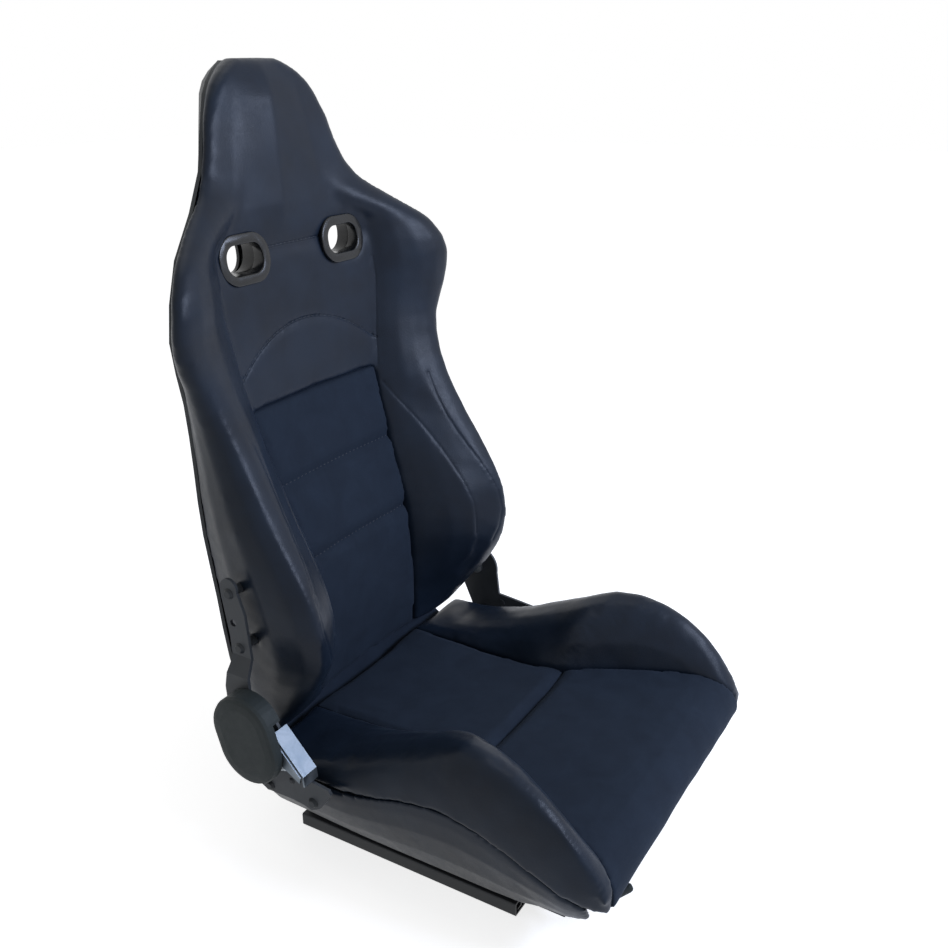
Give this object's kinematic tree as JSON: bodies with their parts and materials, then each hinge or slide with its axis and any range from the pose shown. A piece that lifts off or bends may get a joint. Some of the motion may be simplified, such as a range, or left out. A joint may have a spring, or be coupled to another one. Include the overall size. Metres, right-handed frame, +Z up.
{
  "type": "reclining racing seat",
  "caption": "High-backed reclining sport seat with deep side bolsters, shoulder wings, twin harness slots, a toothed recliner and sliding rails.",
  "frame": {"origin": "centre of the floor bolt pattern, on the underside of the floor rails", "axes": "+X to the occupant's left, -Y to the front, +Z up"},
  "size_m": [0.563, 0.6624, 0.943],
  "materials": {
    "leathercloth": "stitched black leathercloth with a satin sheen",
    "suede_cloth": "black suede-like fabric, soft matt pile",
    "webbing_cloth": "woven black elastic webbing",
    "frame_paint": "satin black powder coat",
    "bracket_paint": "thin black electrophoretic paint on pressed steel",
    "zinc_steel": "bright zinc plated pressed steel",
    "lever_zinc": "blue passivated zinc on pressed steel",
    "spring_steel": "oiled spring steel strip",
    "cover_plastic": "moulded dark grey plastic, fine spark texture",
    "bezel_plastic": "gloss black moulded plastic",
    "shell_plastic": "black moulded plastic shell",
    "nylon": "natural nylon"
  },
  "bodies": {
    "floor_rails": {"lower_rail_right": "frame_paint", "lower_rail_left": "frame_paint", "rail_stops": "zinc_steel"},
    "seat_base": {"upper_rail_right": "frame_paint", "upper_rail_left": "frame_paint", "rail_glides": "nylon", "latch_bearings": "nylon", "side_member_right": "frame_paint", "side_member_left": "frame_paint", "front_cross_tube": "frame_paint", "rear_cross_tube": "frame_paint", "frame_bolts": "zinc_steel", "seat_webbing": "webbing_cloth", "webbing_clips": "zinc_steel", "cushion_pad": "suede_cloth", "thigh_pad": "suede_cloth", "cushion_bolster_right": "leathercloth", "cushion_bolster_left": "leathercloth", "side_skirt_right": "leathercloth", "side_skirt_left": "leathercloth", "lower_bracket_right": "bracket_paint", "lower_bracket_left": "bracket_paint", "bracket_spacers": "bracket_paint", "bracket_bolts": "bracket_paint", "pivot_stud_right": "zinc_steel", "pivot_stud_left": "zinc_steel", "recliner_cover_right": "cover_plastic", "pawl_pin": "zinc_steel"},
    "slide_latch": {"release_lever": "frame_paint", "release_grip": "cover_plastic", "latch_plate": "zinc_steel"},
    "recline_lever": {"recline_lever": "lever_zinc", "lever_drive_pin": "zinc_steel"},
    "pawl": {"pawl": "zinc_steel"},
    "backrest": {"upper_arm_right": "bracket_paint", "upper_arm_left": "bracket_paint", "return_spring": "spring_steel", "spring_pin": "zinc_steel", "back_frame": "frame_paint", "arm_mount_plates": "frame_paint", "arm_spacers": "bracket_paint", "arm_bolts": "bracket_paint", "back_webbing": "webbing_cloth", "back_webbing_clips": "zinc_steel", "lumbar_pad": "suede_cloth", "arch_pad": "leathercloth", "upper_back_pad": "leathercloth", "headrest_pad": "leathercloth", "back_bolster_right": "leathercloth", "back_bolster_left": "leathercloth", "shoulder_wing_right": "leathercloth", "shoulder_wing_left": "leathercloth", "rear_panel": "shell_plastic", "harness_bezel_right": "bezel_plastic", "harness_bezel_left": "bezel_plastic", "rear_bezel_right": "bezel_plastic", "rear_bezel_left": "bezel_plastic"}
  },
  "joints": [
    {"name": "seat_slide", "type": "slide", "parent": "floor_rails", "child": "seat_base", "axis": [0, 1, 0], "range_m": [-0.09, 0.09]},
    {"name": "release_lift", "type": "hinge", "parent": "seat_base", "child": "slide_latch", "pos_m": [-0.172, -0.16, 0.014], "axis": [0, -1, 0], "range_deg": [0, 15], "stiffness_Nm_per_rad": 0.6},
    {"name": "recline", "type": "hinge", "parent": "seat_base", "child": "backrest", "pos_m": [0, 0.158, 0.186], "axis": [1, 0, 0], "range_deg": [-45, 42]},
    {"name": "lever_lift", "type": "hinge", "parent": "seat_base", "child": "recline_lever", "pos_m": [-0.276, 0.158, 0.186], "axis": [-1, 0, 0], "range_deg": [0, 15], "stiffness_Nm_per_rad": 0.6},
    {"name": "pawl_release", "type": "hinge", "parent": "seat_base", "child": "pawl", "pos_m": [-0.2625, 0.12, 0.156], "axis": [-1, 0, 0], "range_deg": [0, 8]}
  ],
  "couplings": [
    {"joint": "pawl_release", "follows": "lever_lift", "ratio": 0.53333}
  ]
}
